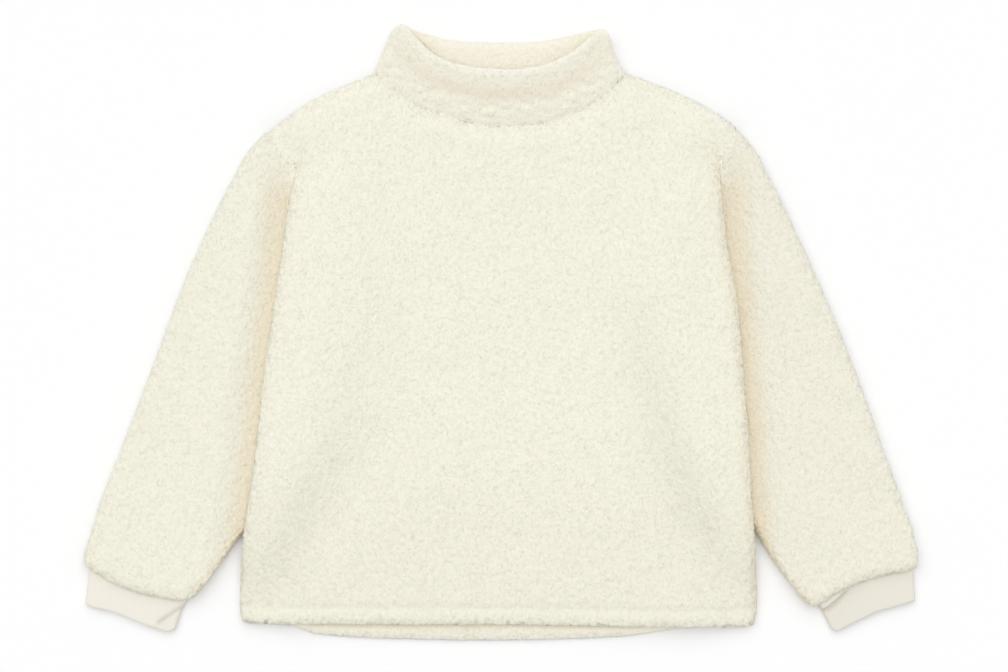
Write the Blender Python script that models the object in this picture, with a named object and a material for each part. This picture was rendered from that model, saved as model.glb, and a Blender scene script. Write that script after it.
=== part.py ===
"""A child's oversized pullover in curly-pile fleece, laid flat on its back.

Metres, +Z up. The neck points along +Y, the back panel rests on z = 0, and the
origin is at the bottom centre of the pullover's box. Sizes below are in
millimetres, x to the right and y towards the neck.
"""

import bmesh
import bpy
import numpy as np

MM = 0.001
SEAM_GAP = 0.3
PANEL_GAP = 0.5

# Fleece, measured through backing and pile.
WALL = 4.5
BLUNT_EDGE = 1.0
FOLD_RADIUS = 5.0
BODY_LOFT = 3.1

# How thick a sleeve lies, where it shows and where the body covers it.
SLEEVE_OPEN_HEIGHT = 13.0
SLEEVE_TUCKED_HEIGHT = 8.0
SLEEVE_WRIST_HEIGHT = 9.5
SLEEVE_FOLD_RADIUS = 7.0
SLEEVE_RISE_START = 4.0
SLEEVE_RISE_LENGTH = 26.0
COVER_CLEARANCE = 0.4
COVER_RAMP = 24.0

HEM_BAND = 12.5
HEM_BAND_EXTRA = 1.2
STITCH_GROOVE_DEPTH = 1.3
STITCH_GROOVE_WIDTH = 3.5

TROUGH_DEPTH = 2.9
TROUGH_WIDTH = 17.0

NECK_LIFT = 0.7
COLLAR_FOLD_RADIUS = 8.0
COLLAR_INSET = 9.0
CUFF_WALL = 1.9
CUFF_FOLD_RADIUS = 3.0

# Outlines, each a table of x and y.
EDGE_LEFT = (
    (-190.0, -212.3), (-193.7, -201.9), (-193.7, -183.3), (-191.5, -153.6),
    (-187.0, -123.9), (-181.8, -86.8), (-177.4, -42.3), (-170.0, 9.6),
    (-163.3, 54.2), (-158.1, 91.3), (-151.4, 124.7),
)
EDGE_RIGHT = (
    (184.8, -214.5), (189.3, -205.6), (190.0, -190.7), (188.5, -161.1),
    (186.3, -123.9), (183.3, -72.0), (179.6, -27.5), (175.9, 17.1),
    (172.2, 41.6), (167.0, 71.3), (164.0, 98.7), (161.8, 127.7),
)
SHOULDER_LEFT = (
    (-177.4, 147.0), (-169.2, 154.4), (-152.2, 165.5),
    (-133.6, 176.6), (-107.6, 187.8), (-94.3, 193.0),
)
SHOULDER_RIGHT = (
    (92.8, 193.0), (106.1, 187.8), (135.1, 176.6),
    (155.9, 165.5), (173.7, 154.4), (178.1, 148.4),
)
NECK_FRONT = (
    (-94.3, 193.0), (-82.4, 183.7), (-73.5, 176.6), (-60.1, 167.7),
    (-38.6, 161.1), (-27.5, 157.3), (-0.7, 153.6), (31.2, 155.9),
    (43.0, 158.8), (63.1, 167.7), (77.9, 177.4), (92.8, 193.0),
)
NECK_BACK = (
    (-94.3, 193.0), (-82.4, 183.7), (-72.0, 178.9), (-52.7, 175.9),
    (-0.7, 174.4), (51.2, 175.9), (68.5, 177.9), (79.9, 181.0), (92.8, 193.0),
)
HEM_FRONT = (
    (-190.0, -212.3), (-149.2, -215.2), (-75.0, -216.4), (-0.7, -217.1),
    (73.5, -217.5), (147.7, -217.5), (184.8, -214.5),
)
HEM_BACK = (
    (-190.0, -212.3), (-181.1, -217.5), (-147.7, -222.7), (-121.0, -225.6),
    (-80.9, -226.4), (-27.5, -227.9), (-8.2, -228.6), (40.1, -227.1),
    (89.1, -223.4), (116.5, -221.2), (144.0, -218.2), (173.7, -216.7),
    (184.8, -214.5),
)
SLEEVE_OUT_LEFT = (
    (-177.4, 147.0), (-190.0, 132.1), (-195.9, 121.0), (-207.8, 98.7),
    (-228.6, 54.2), (-246.4, 9.6), (-262.7, -34.9), (-279.8, -79.4),
    (-296.9, -123.9), (-303.6, -146.2), (-309.5, -168.5),
)
SLEEVE_OUT_RIGHT = (
    (178.1, 148.4), (191.5, 132.1), (197.4, 121.0), (209.3, 98.7),
    (230.1, 54.2), (250.1, 9.6), (267.9, -34.9), (283.5, -79.4),
    (299.1, -123.9), (306.5, -146.2), (309.5, -170.7),
)
SLEEVE_IN_LEFT = (
    (-151.4, 124.7), (-140.3, 98.7), (-126.9, 72.7), (-115.8, 24.5),
    (-126.9, -49.7), (-160.3, -101.7), (-189.3, -144.0), (-201.1, -163.3),
    (-213.0, -179.6), (-221.2, -193.0),
)
SLEEVE_IN_RIGHT = (
    (161.8, 127.7), (152.2, 100.2), (140.3, 76.4), (128.4, 24.5),
    (140.3, -49.7), (165.5, -112.8), (190.0, -163.3), (202.6, -171.4),
    (211.5, -179.6), (219.7, -191.5), (225.6, -201.1),
)
WRIST_LEFT = (
    (-309.5, -168.5), (-303.6, -175.9), (-290.2, -182.6), (-264.2, -192.2),
    (-246.4, -197.1), (-233.8, -198.9), (-224.9, -197.4), (-221.2, -193.0),
)
WRIST_RIGHT = (
    (309.5, -170.7), (304.3, -175.5), (279.1, -181.8), (264.2, -187.0),
    (249.4, -193.7), (235.3, -201.9), (230.1, -203.4), (225.6, -201.1),
)
CUFF_OUT_LEFT = ((-304.0, -176.2), (-308.0, -201.9))
CUFF_OUT_RIGHT = ((304.0, -176.2), (306.5, -198.2))
CUFF_IN_LEFT = ((-230.0, -199.3), (-233.1, -205.4), (-240.5, -220.4))
CUFF_IN_RIGHT = ((232.3, -203.7), (237.5, -208.8), (242.7, -218.2))
CUFF_END_LEFT = (
    (-308.0, -201.9), (-295.4, -204.8), (-282.8, -208.2), (-268.7, -213.8),
    (-256.8, -218.2), (-247.2, -221.2), (-240.5, -220.4),
)
CUFF_END_RIGHT = (
    (306.5, -198.2), (295.4, -201.9), (282.0, -207.1), (269.4, -211.9),
    (259.0, -217.5), (248.6, -221.2), (242.7, -218.2),
)
COLLAR_LEFT = ((-94.3, 193.0), (-88.3, 207.8), (-83.1, 221.2), (-80.2, 225.6))
COLLAR_RIGHT = ((92.8, 193.0), (86.8, 203.4), (80.2, 220.4), (75.0, 224.1))
RIM_FRONT = (
    (-80.2, 225.6), (-63.8, 219.7), (-52.0, 208.6), (-40.1, 201.9),
    (-27.5, 198.2), (9.6, 196.3), (31.2, 198.9), (43.0, 203.7),
    (56.4, 213.0), (75.0, 224.1),
)
RIM_BACK = (
    (-80.2, 225.6), (-75.0, 228.6), (-52.0, 221.9), (-33.4, 217.5),
    (9.6, 216.4), (31.2, 217.5), (56.4, 223.0), (69.7, 226.4), (75.0, 224.1),
)

# Where a sleeve's inner margin lies under the body, as closed loops.
COVERED_LEFT = (
    (-151.4, 128.4), (-135.8, 102.4), (-121.0, 77.9), (-109.8, 24.5),
    (-121.0, -51.2), (-154.4, -104.7), (-184.8, -149.9), (-212.3, -149.9),
    (-212.3, 24.5), (-164.0, 98.7),
)
COVERED_RIGHT = (
    (161.8, 131.4), (146.2, 102.4), (134.3, 77.9), (122.5, 24.5),
    (134.3, -51.2), (159.6, -116.5), (184.8, -168.5), (214.5, -168.5),
    (214.5, 24.5), (174.4, 98.7),
)

# Soft troughs down the front: x, y and the share of the full depth there.
TROUGH_LEFT = (
    (-95.0, 35.6, 0.0), (-106.1, -22.3, 0.45), (-117.3, -93.5, 0.7),
    (-132.9, -119.5, 0.85), (-147.7, -149.2, 1.0), (-162.5, -183.3, 0.9),
    (-177.4, -194.5, 0.4),
)
TROUGH_RIGHT = (
    (88.3, 35.6, 0.0), (99.5, -26.0, 0.45), (110.6, -63.1, 0.7),
    (125.4, -104.7, 0.9), (144.0, -145.5, 1.0), (163.3, -171.4, 0.5),
)

# Heights up the collar: share of the way from seam to rim, front layer's top.
COLLAR_PROFILE = (
    (0.0, 12.6), (0.12, 15.8), (0.3, 19.6), (0.45, 18.2),
    (0.58, 16.4), (0.7, 19.2), (0.84, 21.6), (1.0, 20.6),
)
COLLAR_BACK_PROFILE = ((0.0, 4.5), (0.3, 8.0), (1.0, 8.3))

# Grid lines, as shares across and along a piece.
SHOULDER_SHARE = 0.235
SHOULDER_COLUMNS = (0.0, 0.02, 0.05, 0.1, 0.18, 0.3, 0.45, 0.62, 0.8)
NECK_COLUMNS = (
    0.0, 0.02, 0.05, 0.09, 0.15, 0.22, 0.3, 0.4, 0.5,
    0.6, 0.7, 0.78, 0.85, 0.91, 0.95, 0.98, 1.0,
)
ARMHOLE_SHARE = 0.908
BODY_ROWS = (
    0.066, 0.1, 0.14, 0.185, 0.235, 0.29, 0.345, 0.4, 0.455, 0.51, 0.565, 0.62,
    0.675, 0.73, 0.78, 0.82, 0.855, 0.885, ARMHOLE_SHARE, 0.93, 0.95, 0.97,
    0.985, 0.994, 1.0,
)
FRONT_HEM_ROWS = (0.0, 0.005, 0.012, 0.022, 0.03, 0.036, 0.045)
BACK_HEM_ROWS = (0.0, 0.006, 0.015, 0.036)
SLEEVE_COLUMNS = (
    0.0, 0.015, 0.04, 0.08, 0.15, 0.25, 0.37, 0.5,
    0.63, 0.75, 0.85, 0.92, 0.96, 0.985, 1.0,
)
SLEEVE_ROWS = (
    0.0, 0.015, 0.035, 0.06, 0.09, 0.125, 0.165, 0.21, 0.26, 0.31, 0.36,
    0.42, 0.48, 0.54, 0.6, 0.66, 0.72, 0.78, 0.84, 0.89, 0.93, 0.96, 0.982, 1.0,
)
COLLAR_ROWS = (
    0.0, 0.06, 0.14, 0.24, 0.34, 0.45, 0.55, 0.64, 0.74, 0.84, 0.91, 0.96, 0.99, 1.0,
)
CUFF_COLUMNS = (0.0, 0.02, 0.06, 0.15, 0.3, 0.5, 0.7, 0.85, 0.94, 0.98, 1.0)
CUFF_ROWS = (0.0, 0.12, 0.3, 0.5, 0.72, 0.9, 0.97, 1.0)


def soft_step(t):
    t = np.clip(t, 0.0, 1.0)
    return t * t * (3.0 - 2.0 * t)


def quarter_round(distance, radius):
    """0 on a fold, rising along a quarter circle to 1 at the radius."""
    t = 1.0 - np.clip(distance / radius, 0.0, 1.0)
    return np.sqrt(1.0 - t * t)


def along(table, share):
    """The point at a share of the length of a smooth line through the table."""
    points = np.array(table, float)
    steps = np.linalg.norm(np.diff(points, axis=0), axis=1)
    lengths = np.concatenate([[0.0], np.cumsum(steps)])
    if len(points) == 2:
        slopes = np.repeat((points[1:] - points[:1]) / lengths[-1], 2, axis=0)
    else:
        slopes = np.gradient(points, lengths, axis=0)
    at = np.clip(np.asarray(share, float), 0.0, 1.0) * lengths[-1]
    cell = np.clip(np.searchsorted(lengths, at, side="right") - 1, 0, len(steps) - 1)
    width = steps[cell]
    t = ((at - lengths[cell]) / width)[..., None]
    width = width[..., None]
    start, end = points[cell], points[cell + 1]
    leave, arrive = slopes[cell] * width, slopes[cell + 1] * width
    return (
        (2 * t**3 - 3 * t**2 + 1) * start
        + (t**3 - 2 * t**2 + t) * leave
        + (3 * t**2 - 2 * t**3) * end
        + (t**3 - t**2) * arrive
    )


def patch(start, end, left, right, u, v):
    """A surface inside four lines: start and end run across, left and right along."""
    u, v = np.broadcast_arrays(u, v)
    zero, one = np.zeros_like(u), np.ones_like(u)
    a, b = u[..., None], v[..., None]
    corners = (
        (1 - a) * (1 - b) * start(zero) + a * (1 - b) * start(one)
        + (1 - a) * b * end(zero) + a * b * end(one)
    )
    across = (1 - b) * start(u) + b * end(u)
    down = (1 - a) * left(v) + a * right(v)
    return across + down - corners


def nearest(x, y, line):
    """Distance to a run of straight pieces, and where on it the nearest point is."""
    best = np.full(np.shape(x), np.inf)
    place = np.zeros(np.shape(x))
    for index, (a, b) in enumerate(zip(line[:-1], line[1:])):
        dx, dy = b[0] - a[0], b[1] - a[1]
        t = np.clip(((x - a[0]) * dx + (y - a[1]) * dy) / (dx * dx + dy * dy), 0, 1)
        distance = np.hypot(x - a[0] - t * dx, y - a[1] - t * dy)
        closer = distance < best
        best = np.where(closer, distance, best)
        place = np.where(closer, index + t, place)
    return best, place


def inside(x, y, loop):
    crossings = np.zeros(np.shape(x), int)
    for a, b in zip(loop, loop[1:] + loop[:1]):
        spans = (a[1] > y) != (b[1] > y)
        rise = b[1] - a[1] if b[1] != a[1] else 1.0
        crossings += spans & (x < a[0] + (y - a[1]) * (b[0] - a[0]) / rise)
    return crossings % 2 == 1


def back_underside(x, y):
    """The back panel lies on the surface, and on each sleeve's tucked margin."""
    height = np.zeros(np.shape(x))
    for loop in (COVERED_LEFT, COVERED_RIGHT):
        distance, _ = nearest(x, y, loop + loop[:1])
        share = 1.0 - soft_step(distance / COVER_RAMP)
        share = np.where(inside(x, y, loop), 1.0, share)
        height = np.maximum(height, share * (SLEEVE_TUCKED_HEIGHT + COVER_CLEARANCE))
    return height


def troughs(x, y):
    """Depth of the soft troughs down the front."""
    depth = np.zeros(np.shape(x))
    for table in (TROUGH_LEFT, TROUGH_RIGHT):
        distance, place = nearest(x, y, table)
        share = np.interp(place, range(len(table)), [row[2] for row in table])
        depth += TROUGH_DEPTH * share * np.exp(-((distance / TROUGH_WIDTH) ** 2))
    return depth


def side_distance(x, y):
    return np.minimum(nearest(x, y, EDGE_LEFT)[0], nearest(x, y, EDGE_RIGHT)[0])


def shoulder_distance(x, y):
    left, _ = nearest(x, y, SHOULDER_LEFT)
    right, _ = nearest(x, y, SHOULDER_RIGHT)
    return np.minimum(left, right)


def front_underside(x, y):
    """The front lies on the back at its edges and stands a little off it inside."""
    loft = BODY_LOFT * soft_step(side_distance(x, y) / 40.0)
    loft = loft * soft_step(shoulder_distance(x, y) / 14.0)
    loft = np.maximum(loft - troughs(x, y), 0.0)
    return back_underside(x, y) + WALL + PANEL_GAP + loft


def hem_relief(distance):
    """The turned-up hem is thicker as far as its row of stitches."""
    band = HEM_BAND_EXTRA * (1.0 - soft_step((distance - HEM_BAND) / 3.0))
    groove = np.exp(-(((distance - HEM_BAND) / STITCH_GROOVE_WIDTH) ** 2))
    return band - STITCH_GROOVE_DEPTH * groove


def hem_distance(x, y, hem):
    return nearest(x, y, hem)[0]


def body_grid(neck, hem, hem_rows):
    """Points across and up one body panel, from its hem to shoulders and neck."""
    columns = [SHOULDER_SHARE * c for c in SHOULDER_COLUMNS]
    columns += [SHOULDER_SHARE + (1 - 2 * SHOULDER_SHARE) * c for c in NECK_COLUMNS]
    columns += [1.0 - SHOULDER_SHARE * c for c in SHOULDER_COLUMNS[::-1]]

    def top(u):
        neck_share = (u - SHOULDER_SHARE) / (1.0 - 2.0 * SHOULDER_SHARE)
        right_share = (u - 1.0 + SHOULDER_SHARE) / SHOULDER_SHARE
        left_part = along(SHOULDER_LEFT, u / SHOULDER_SHARE)
        right_part = along(SHOULDER_RIGHT, right_share)
        middle = along(neck, neck_share)
        points = np.where((neck_share < 0.0)[..., None], left_part, middle)
        return np.where((neck_share > 1.0)[..., None], right_part, points)

    def side(edge, shoulder_point):
        def points(v):
            below = along(edge, v / ARMHOLE_SHARE)
            armhole = (edge[-1], shoulder_point)
            above = along(armhole, (v - ARMHOLE_SHARE) / (1.0 - ARMHOLE_SHARE))
            return np.where((v > ARMHOLE_SHARE)[..., None], above, below)

        return points

    u, v = np.meshgrid(np.array(columns), np.array(hem_rows + BODY_ROWS))
    left = side(EDGE_LEFT, SHOULDER_LEFT[0])
    right = side(EDGE_RIGHT, SHOULDER_RIGHT[-1])
    plan = patch(lambda w: along(HEM_FRONT, w), top, left, right, u, v)
    longer = along(hem, u) - along(HEM_FRONT, u)
    return plan + longer * np.clip(1.0 - v / BODY_ROWS[0], 0.0, 1.0)[..., None]


def with_heights(plan, heights):
    return np.concatenate([plan, heights[..., None]], axis=-1)


def open_grid(across, rows):
    """An open sheet of faces whose vertices know their column and row."""
    bm = bmesh.new()
    column_of = bm.verts.layers.int.new("column")
    row_of = bm.verts.layers.int.new("row")
    segments = {"x_segments": across - 1, "y_segments": rows - 1}
    made = bmesh.ops.create_grid(bm, size=1.0, **segments)
    for vert in made["verts"]:
        vert[column_of] = round((vert.co.x + 1.0) / 2.0 * (across - 1))
        vert[row_of] = round((vert.co.y + 1.0) / 2.0 * (rows - 1))
    return bm


def open_tube(around, rows):
    """An open tube of rings, each ring drawn out from the one before it."""
    bm = bmesh.new()
    column_of = bm.verts.layers.int.new("column")
    row_of = bm.verts.layers.int.new("row")
    ring = bmesh.ops.create_circle(bm, segments=around, radius=1.0)["verts"]
    for column, vert in enumerate(ring):
        vert[column_of] = column
    edges = bm.edges[:]
    for row in range(1, rows):
        made = bmesh.ops.extrude_edge_only(bm, edges=edges)["geom"]
        for vert in (item for item in made if isinstance(item, bmesh.types.BMVert)):
            vert[row_of] = row
        edges = [
            item for item in made
            if isinstance(item, bmesh.types.BMEdge)
            and all(vert[row_of] == row for vert in item.verts)
        ]
    return bm


def give_wall(bm, outer, inner):
    """Draws the sheet out into a wall between an outer and an inner surface."""
    column_of = bm.verts.layers.int["column"]
    row_of = bm.verts.layers.int["row"]
    made = bmesh.ops.extrude_face_region(bm, geom=bm.faces[:])["geom"]
    lining = {item for item in made if isinstance(item, bmesh.types.BMVert)}
    for vert in bm.verts:
        surface = inner if vert in lining else outer
        vert.co = surface[vert[row_of], vert[column_of]] * MM
    bmesh.ops.recalc_face_normals(bm, faces=bm.faces[:])
    if bm.calc_volume(signed=True) < 0.0:
        bmesh.ops.reverse_faces(bm, faces=bm.faces[:])


def cloth(name, colour, roughness):
    material = bpy.data.materials.new(name)
    material.use_nodes = True
    shader = material.node_tree.nodes["Principled BSDF"]
    shader.inputs["Base Color"].default_value = (*colour, 1.0)
    shader.inputs["Roughness"].default_value = roughness
    shader.inputs["Metallic"].default_value = 0.0
    material.diffuse_color = (*colour, 1.0)
    return material


def add_piece(name, bm, material, group, parent):
    mesh = bpy.data.meshes.new(name)
    bm.to_mesh(mesh)
    bm.free()
    mesh.materials.append(material)
    mesh.shade_smooth()
    piece = bpy.data.objects.new(name, mesh)
    piece.parent = parent
    group.objects.link(piece)
    return piece


def tube_surfaces(upper, lower, columns, rows, heights, radius, inset):
    """Outer and inner rings of a flattened tube.

    upper and lower give the plan of the two layers at (u, v). heights gives, at
    their points, the outer top, the inner top, the inner bottom and the outer
    bottom.
    """
    u, v = np.meshgrid(np.array(columns), np.array(rows))

    def layer(plan_of, shares, face, round_radius):
        plan = plan_of(shares, v)
        span = np.linalg.norm(plan[:, -1:] - plan[:, :1], axis=-1)
        from_fold = np.minimum(shares - shares[:, :1], shares[:, -1:] - shares)
        full = np.linalg.norm(plan_of(u, v)[:, -1:] - plan_of(u, v)[:, :1], axis=-1)
        bend = quarter_round(from_fold * full, np.minimum(round_radius, span / 2.2))
        top, ceiling, floor, bottom = heights(plan, v)
        pair = (top, bottom) if face == "outer" else (ceiling, floor)
        middle = (pair[0] + pair[1]) / 2.0
        return plan, [middle + (level - middle) * bend for level in pair]

    def rings(shares, face, round_radius):
        plan_up, (high, _) = layer(upper, shares, face, round_radius)
        plan_down, (_, low) = layer(lower, shares, face, round_radius)
        above = with_heights(plan_up, high)
        below = with_heights(plan_down, low)
        return np.concatenate([above, below[:, -2:0:-1]], axis=1)

    width = np.linalg.norm(upper(u, v)[:, -1:] - upper(u, v)[:, :1], axis=-1)
    margin = inset / width
    inner_shares = margin + (1.0 - 2.0 * margin) * u
    outer = rings(u, "outer", radius)
    inner = rings(inner_shares, "inner", 3.0)
    return outer, inner


def sleeve_height(edge, underarm):
    """Height of a sleeve: low under the body, full a little way out from it."""

    def height(x, y):
        ys = [row[1] for row in edge]
        edge_x = np.interp(y, ys, [row[0] for row in edge])
        outward = (edge_x - x) * np.sign(-underarm[0])
        round_corner = np.hypot(x - underarm[0], y - underarm[1])
        distance = np.where(y > underarm[1], round_corner, outward)
        return soft_step((distance - SLEEVE_RISE_START) / SLEEVE_RISE_LENGTH)

    return height


def make_sleeve(name, edge, shoulder_point, outer_edge, inner_edge, wrist, look):
    underarm = np.array(edge[-1])
    chord = underarm - np.array(shoulder_point)
    off = np.array([chord[1], -chord[0]]) / np.linalg.norm(chord)
    off = off if off[1] < 0 else -off
    seam = (np.array(shoulder_point) + SEAM_GAP * off, underarm + SEAM_GAP * off)
    outer_line = (tuple(seam[0]),) + outer_edge[1:]
    inner_line = (tuple(seam[1]),) + inner_edge[1:]
    shown = sleeve_height(edge, underarm)

    def plan(u, v):
        return patch(
            lambda w: along(seam, w),
            lambda w: along(wrist, w),
            lambda w: along(outer_line, w),
            lambda w: along(inner_line, w),
            u, v,
        )

    def heights(points, v):
        share = shown(points[..., 0], points[..., 1])
        top = SLEEVE_TUCKED_HEIGHT
        top = top + (SLEEVE_OPEN_HEIGHT - SLEEVE_TUCKED_HEIGHT) * share
        near_wrist = soft_step((v - 0.95) / 0.05)
        top = top + (np.minimum(top, SLEEVE_WRIST_HEIGHT) - top) * near_wrist
        slit = 0.6 + 0.55 * (top - SLEEVE_TUCKED_HEIGHT)
        wall = (top - slit) / 2.0
        return top, top - wall, wall, np.zeros_like(top)

    outer, inner = tube_surfaces(
        plan, plan, SLEEVE_COLUMNS, SLEEVE_ROWS, heights, SLEEVE_FOLD_RADIUS, 6.2
    )
    bm = open_tube(outer.shape[1], outer.shape[0])
    give_wall(bm, outer, inner)
    return add_piece(name, bm, *look)


def make_cuff(name, wrist, wrist_shares, out_line, in_line, end_line, look):
    """A plain knitted cuff, sewn to the sleeve's end and lying on the surface."""
    start = along(wrist, np.linspace(*wrist_shares, 13))
    start = start - np.array([0.0, SEAM_GAP + 0.25])
    end = np.array(end_line)
    out_line = (tuple(start[0]), out_line[-1])
    in_line = (tuple(start[-1]),) + in_line[1:]

    def plan(u, v):
        return patch(
            lambda w: along(start, w),
            lambda w: along(end, w),
            lambda w: along(out_line, w),
            lambda w: along(in_line, w),
            u, v,
        )

    def heights(points, v):
        rest = soft_step(v / 0.45)
        bottom = 1.4 * (1.0 - rest)
        top = 6.8 - 1.2 * rest
        roll = 1.0 - 0.35 * soft_step((v - 0.93) / 0.07)
        middle = (top + bottom) / 2.0
        top = middle + (top - middle) * roll
        return top, top - CUFF_WALL, bottom + CUFF_WALL, bottom + 0.0 * v

    outer, inner = tube_surfaces(
        plan, plan, CUFF_COLUMNS, CUFF_ROWS, heights, CUFF_FOLD_RADIUS, 2.8
    )
    bm = open_tube(outer.shape[1], outer.shape[0])
    give_wall(bm, outer, inner)
    return add_piece(name, bm, *look)


def make_front(look):
    plan = body_grid(NECK_FRONT, HEM_FRONT, FRONT_HEM_ROWS)
    x, y = plan[..., 0], plan[..., 1]
    under = front_underside(x, y)
    hem = hem_distance(x, y, HEM_FRONT)
    edges = np.minimum(np.minimum(side_distance(x, y), shoulder_distance(x, y)), hem)
    thickness = WALL + hem_relief(hem) - BLUNT_EDGE
    upper = under + BLUNT_EDGE + thickness * quarter_round(edges, FOLD_RADIUS)
    bm = open_grid(plan.shape[1], plan.shape[0])
    give_wall(bm, with_heights(plan, upper), with_heights(plan, under))
    return add_piece("front", bm, *look)


def make_back(look):
    plan = body_grid(NECK_BACK, HEM_BACK, BACK_HEM_ROWS)
    x, y = plan[..., 0], plan[..., 1]
    flat = back_underside(x, y)
    top = flat + WALL
    hem = hem_distance(x, y, HEM_BACK)
    hem_bend = BLUNT_EDGE + (WALL - BLUNT_EDGE) * quarter_round(hem, FOLD_RADIUS)
    upper = np.minimum(top, flat + hem_bend)
    edges = np.minimum(side_distance(x, y), shoulder_distance(x, y))
    bend = BLUNT_EDGE + (WALL - BLUNT_EDGE) * quarter_round(edges, FOLD_RADIUS)
    lower = np.minimum(top - bend, upper - BLUNT_EDGE)
    bm = open_grid(plan.shape[1], plan.shape[0])
    give_wall(bm, with_heights(plan, upper), with_heights(plan, lower))
    return add_piece("back", bm, *look)


def make_collar(look):
    """A funnel collar of doubled fleece, its rim rolled and its front lower."""

    def lifted(table):
        return [(table[0][0], table[0][1] + NECK_LIFT)] + list(table[1:])

    def layer(neck, rim):
        raised = [(row[0], row[1] + NECK_LIFT) for row in neck]

        def plan(u, v):
            return patch(
                lambda w: along(raised, w),
                lambda w: along(rim, w),
                lambda w: along(lifted(COLLAR_LEFT), w),
                lambda w: along(lifted(COLLAR_RIGHT), w),
                u, v,
            )

        return plan

    def heights(points, v):
        top = np.interp(v, *zip(*COLLAR_PROFILE))
        floor = np.interp(v, *zip(*COLLAR_BACK_PROFILE))
        ceiling = floor + BODY_LOFT + SEAM_GAP
        roll = np.sqrt(1.0 - np.clip((v - 0.86) / 0.14, 0.0, 0.99) ** 2)
        front_middle = (top + ceiling) / 2.0
        top = front_middle + (top - front_middle) * roll
        ceiling = front_middle - (front_middle - ceiling) * roll
        back_middle = floor / 2.0
        floor = back_middle + back_middle * roll
        return top, ceiling, floor, back_middle - back_middle * roll

    outer, inner = tube_surfaces(
        layer(NECK_FRONT, RIM_FRONT), layer(NECK_BACK, RIM_BACK),
        NECK_COLUMNS, COLLAR_ROWS, heights, COLLAR_FOLD_RADIUS, COLLAR_INSET,
    )
    bm = open_tube(outer.shape[1], outer.shape[0])
    give_wall(bm, outer, inner)
    return add_piece("collar", bm, *look)


def main():
    for old in list(bpy.data.objects):
        bpy.data.objects.remove(old)
    group = bpy.data.collections.new("pullover")
    bpy.context.scene.collection.children.link(group)
    root = bpy.data.objects.new("pullover", None)
    group.objects.link(root)

    body = cloth("body_fleece", (0.86, 0.83, 0.71), 0.95)
    body_back = cloth("back_fleece", (0.85, 0.82, 0.70), 0.95)
    arm = cloth("sleeve_fleece", (0.90, 0.87, 0.75), 0.95)
    neck = cloth("collar_fleece", (0.88, 0.85, 0.74), 0.95)
    rib = cloth("cuff_knit", (0.85, 0.81, 0.72), 0.85)

    make_front((body, group, root))
    make_back((body_back, group, root))
    make_sleeve(
        "sleeve_left", EDGE_LEFT, SHOULDER_LEFT[0], SLEEVE_OUT_LEFT,
        SLEEVE_IN_LEFT, WRIST_LEFT, (arm, group, root),
    )
    make_sleeve(
        "sleeve_right", EDGE_RIGHT, SHOULDER_RIGHT[-1], SLEEVE_OUT_RIGHT,
        SLEEVE_IN_RIGHT, WRIST_RIGHT, (arm, group, root),
    )
    make_collar((neck, group, root))
    make_cuff(
        "cuff_left", WRIST_LEFT, (0.09, 0.88), CUFF_OUT_LEFT,
        CUFF_IN_LEFT, CUFF_END_LEFT, (rib, group, root),
    )
    make_cuff(
        "cuff_right", WRIST_RIGHT, (0.07, 0.9), CUFF_OUT_RIGHT,
        CUFF_IN_RIGHT, CUFF_END_RIGHT, (rib, group, root),
    )


main()
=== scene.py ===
import math

import bpy
import numpy as np
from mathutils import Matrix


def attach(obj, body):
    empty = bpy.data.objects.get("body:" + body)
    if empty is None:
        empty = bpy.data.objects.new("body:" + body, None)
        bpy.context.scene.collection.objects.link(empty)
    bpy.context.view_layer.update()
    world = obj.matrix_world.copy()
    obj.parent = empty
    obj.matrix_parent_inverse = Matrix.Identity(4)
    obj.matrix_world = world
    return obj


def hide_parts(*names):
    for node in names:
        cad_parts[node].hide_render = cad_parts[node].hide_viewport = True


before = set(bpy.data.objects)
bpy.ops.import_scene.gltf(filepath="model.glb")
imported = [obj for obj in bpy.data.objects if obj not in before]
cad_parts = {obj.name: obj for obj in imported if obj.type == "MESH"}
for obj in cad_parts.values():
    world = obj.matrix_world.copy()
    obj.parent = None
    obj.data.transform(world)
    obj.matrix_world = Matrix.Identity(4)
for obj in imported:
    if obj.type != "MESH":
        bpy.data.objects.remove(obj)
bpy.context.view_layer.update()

# The table and the light. The pullover lies on a plain white surface and is
# seen from straight above, in wide soft light that comes a little from the
# neck end, so its shadows are short, soft and below the hem and cuffs.
bpy.ops.object.select_all(action="DESELECT")
bpy.ops.mesh.primitive_plane_add(size=8.0, location=(0.0, 0.0, -0.0003))
table = bpy.context.object
table.name = "table"
bpy.ops.object.transform_apply(location=True, rotation=False, scale=False)
white = bpy.data.materials.new("white_table")
white.use_nodes = True
table_shader = white.node_tree.nodes["Principled BSDF"]
table_shader.inputs["Base Color"].default_value = (0.93, 0.93, 0.93, 1.0)
table_shader.inputs["Roughness"].default_value = 0.9
table.data.materials.append(white)

LIGHTS = (
    # name, turned about X and Y in degrees, width of the soft source in degrees, strength
    ("soft_from_the_neck_end", (-24.0, -6.0), 80.0, 1.44),
    ("soft_from_the_left", (6.0, -38.0), 90.0, 0.19),
    ("soft_from_the_right", (4.0, 40.0), 90.0, 0.20),
)
for light_name, tilt, width, strength in LIGHTS:
    turned = (math.radians(tilt[0]), math.radians(tilt[1]), 0.0)
    bpy.ops.object.light_add(type="SUN", location=(0.0, 0.0, 1.5), rotation=turned)
    lamp = bpy.context.object
    lamp.name = light_name
    lamp.data.angle = math.radians(width)
    lamp.data.energy = strength

room = bpy.data.worlds.new("white_room")
room.use_nodes = True
room.node_tree.nodes["Background"].inputs["Color"].default_value = (0.995, 0.995, 1.0, 1.0)
room.node_tree.nodes["Background"].inputs["Strength"].default_value = 0.56
bpy.context.scene.world = room
bpy.context.scene.view_settings.view_transform = "Standard"

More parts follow.
